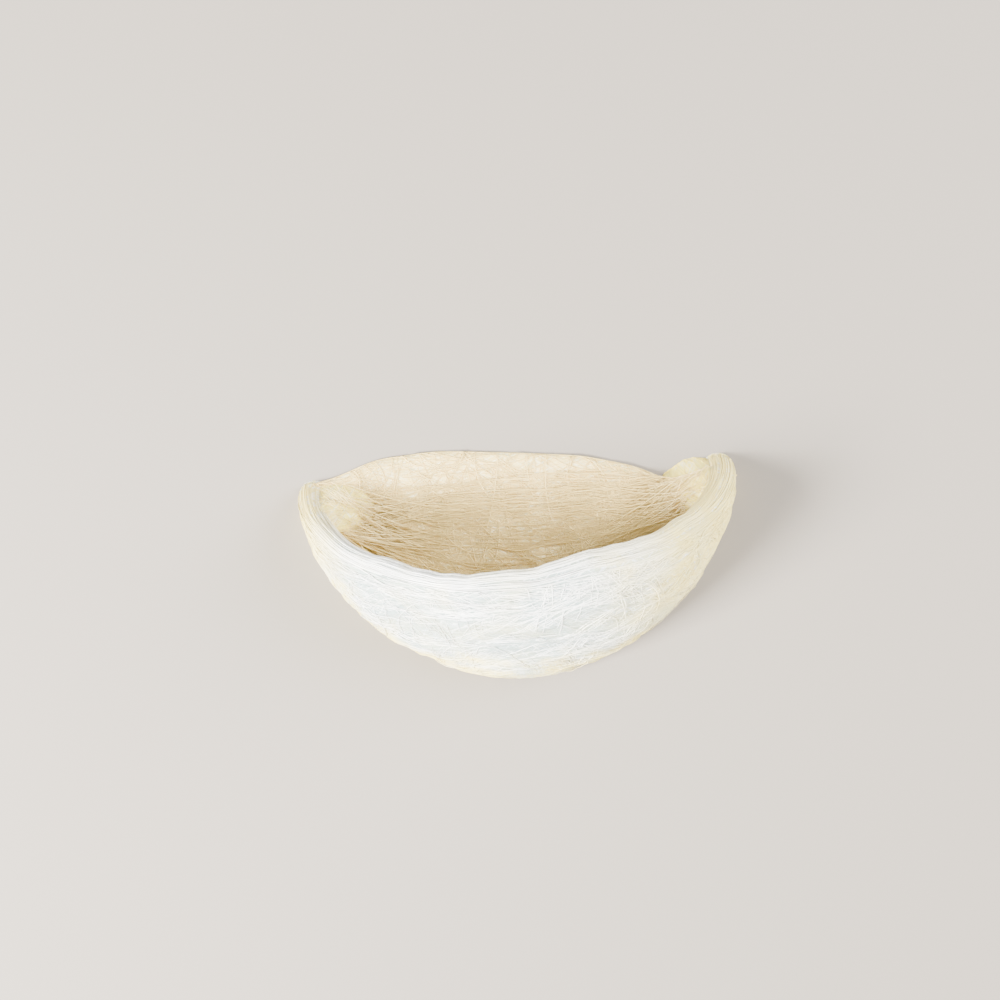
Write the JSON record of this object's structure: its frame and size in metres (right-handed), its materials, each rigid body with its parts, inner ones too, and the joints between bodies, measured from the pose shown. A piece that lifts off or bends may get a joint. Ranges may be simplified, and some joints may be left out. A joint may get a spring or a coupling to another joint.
{
  "type": "edible bird's nest",
  "caption": "Half-cup nest of a cave swiftlet, made of layered white strands of dried saliva, with a flat back and a thick foot at each end where it held on to a wall.",
  "frame": {"origin": "the point on the flat back halfway between the tips of the two feet, where the nest touched the wall", "axes": "+X from foot to foot, +Y from the bottom of the cup to its open mouth, +Z out of the wall towards the front of the cup"},
  "size_m": [0.0843, 0.045, 0.0363],
  "materials": {
    "saliva": "silky, slightly translucent dried strands, ivory white outside and beige inside"
  },
  "bodies": {
    "root": {"nest": "saliva"}
  },
  "joints": []
}
